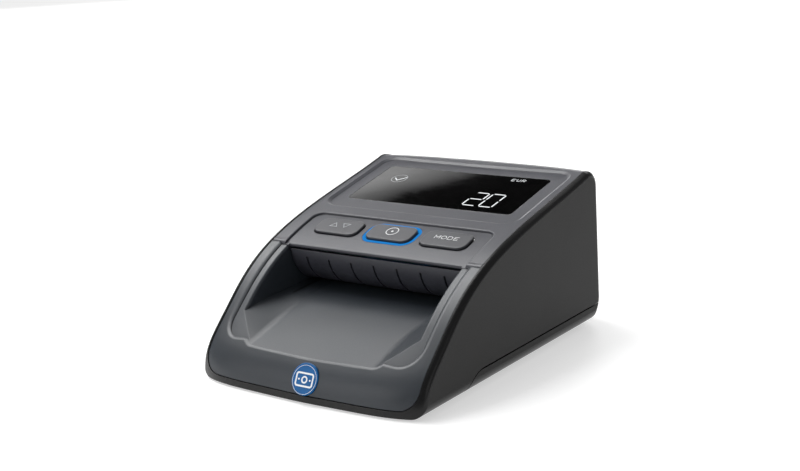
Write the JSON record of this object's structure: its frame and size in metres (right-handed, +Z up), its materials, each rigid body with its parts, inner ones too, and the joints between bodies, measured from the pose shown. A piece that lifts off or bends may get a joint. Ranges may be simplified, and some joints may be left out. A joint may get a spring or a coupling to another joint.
{
  "type": "banknote counting machine",
  "caption": "Compact desktop banknote checker and counter: single-note front tray, hinged top cover with display and keys, motor-driven rollers, rear exit slot.",
  "frame": {"origin": "on the table plane, under the middle of the machine's plan outline", "axes": "+X to the right seen from the front, +Y to the rear, +Z up; the tray and the display face -Y"},
  "size_m": [0.128, 0.1686, 0.0777],
  "materials": {
    "black_textured": "fine-grained matte black moulding with a smoother rim",
    "grey_satin": "satin slate-grey moulding",
    "badge_blue": null,
    "gloss_lens": "gloss black display window with lit white segments",
    "lcd_dark": "dark display module",
    "key_grey": null,
    "ring_blue": "translucent blue light ring",
    "circuit_board": "green solder mask",
    "black_plain": "plain black inner moulding",
    "guide_dark": "dark satin ribbed guide",
    "screw_steel": "zinc-plated screws",
    "roller_rubber": "soft grey-black rubber on steel axles",
    "spring_steel": "spring steel",
    "sensor_glass": "scratch-proof sensor window",
    "bush_white": "natural acetal",
    "shaft_steel": "ground steel",
    "brass": "turned brass",
    "motor_can": "plated steel can",
    "belt_rubber": "black timing belt",
    "chip_black": "moulded chips and capacitors",
    "battery_wrap": "shrink-wrapped cells",
    "foot_rubber": "black rubber feet"
  },
  "bodies": {
    "base": {"base_pan": "black_textured", "outer_housing": "black_textured", "front_tray": "grey_satin", "front_badge": "badge_blue", "transport_frame": "black_plain", "shaft_bushes": "bush_white", "motor_body": "motor_can", "drive_belt": "belt_rubber", "encoder_sensor": "black_plain", "lower_sensor_bar": "black_plain", "lower_sensor_glass": "sensor_glass", "magnetic_heads": "shaft_steel", "main_board": "circuit_board", "board_parts": "chip_black", "board_screws": "screw_steel", "dc_jack": "black_plain", "usb_port": "shaft_steel", "card_slot": "shaft_steel", "release_springs": "spring_steel", "spring_rest": "black_plain", "battery_pack": "battery_wrap", "battery_cover": "black_textured", "rubber_feet": "foot_rubber", "base_screws": "screw_steel", "hinge_pins": "shaft_steel"},
    "cover": {"top_cover": "grey_satin", "display_lens": "gloss_lens", "lcd_module": "lcd_dark", "power_ring_light": "ring_blue", "control_board": "circuit_board", "tact_switches": "black_plain", "upper_guide": "guide_dark", "cover_frame": "black_plain", "cover_screws": "screw_steel", "pinch_springs": "spring_steel", "upper_sensor_bar": "black_plain", "upper_sensor_glass": "sensor_glass"},
    "up_down_key": {"button_up_down": "key_grey"},
    "power_key": {"button_power": "key_grey"},
    "mode_key": {"button_mode": "key_grey"},
    "front_pinch": {"front_pinch_rollers": "roller_rubber"},
    "rear_pinch": {"rear_pinch_rollers": "roller_rubber"},
    "front_drive": {"front_drive_shaft": "shaft_steel", "front_drive_rollers": "roller_rubber", "front_pulley": "bush_white", "encoder_disc": "black_plain"},
    "rear_drive": {"rear_drive_shaft": "shaft_steel", "rear_drive_rollers": "roller_rubber", "rear_pulley": "bush_white"},
    "motor_rotor": {"motor_shaft": "shaft_steel", "motor_pulley": "brass"},
    "release": {"release_button": "black_textured"}
  },
  "joints": [
    {"name": "cover_hinge", "type": "hinge", "parent": "base", "child": "cover", "pos_m": [0, -0.02155, 0.05211], "axis": [1, 0, 0], "range_deg": [0, 62]},
    {"name": "power_press", "type": "slide", "parent": "cover", "child": "power_key", "axis": [0, 0.2879, -0.9577], "range_m": [0, 0.0008], "stiffness_N_per_m": 600},
    {"name": "mode_press", "type": "slide", "parent": "cover", "child": "mode_key", "axis": [0, 0.2879, -0.9577], "range_m": [0, 0.0008], "stiffness_N_per_m": 600},
    {"name": "up_down_rock", "type": "hinge", "parent": "cover", "child": "up_down_key", "pos_m": [-0.0314, -0.00612, 0.05573], "axis": [0, 0.9577, 0.2879], "range_deg": [-2.5, 2.5], "stiffness_Nm_per_rad": 0.05},
    {"name": "front_drive_spin", "type": "hinge", "parent": "base", "child": "front_drive", "pos_m": [0, 0.008, 0.0248], "axis": [1, 0, 0], "continuous": true},
    {"name": "rear_drive_spin", "type": "hinge", "parent": "base", "child": "rear_drive", "pos_m": [0, 0.052, 0.0248], "axis": [1, 0, 0], "continuous": true},
    {"name": "motor_spin", "type": "hinge", "parent": "base", "child": "motor_rotor", "pos_m": [0, 0.066, 0.0155], "axis": [1, 0, 0], "continuous": true},
    {"name": "front_pinch_spin", "type": "hinge", "parent": "cover", "child": "front_pinch", "pos_m": [0, 0.008, 0.0371], "axis": [1, 0, 0], "continuous": true},
    {"name": "rear_pinch_spin", "type": "hinge", "parent": "cover", "child": "rear_pinch", "pos_m": [0, 0.052, 0.0371], "axis": [1, 0, 0], "continuous": true},
    {"name": "release_press", "type": "slide", "parent": "base", "child": "release", "axis": [0, -1, 0], "range_m": [0, 0.0025], "stiffness_N_per_m": 800}
  ],
  "couplings": [
    {"joint": "rear_drive_spin", "follows": "front_drive_spin", "ratio": 1},
    {"joint": "motor_spin", "follows": "front_drive_spin", "ratio": 1.5},
    {"joint": "front_pinch_spin", "follows": "front_drive_spin", "ratio": -1.4},
    {"joint": "rear_pinch_spin", "follows": "front_drive_spin", "ratio": -1.4}
  ]
}
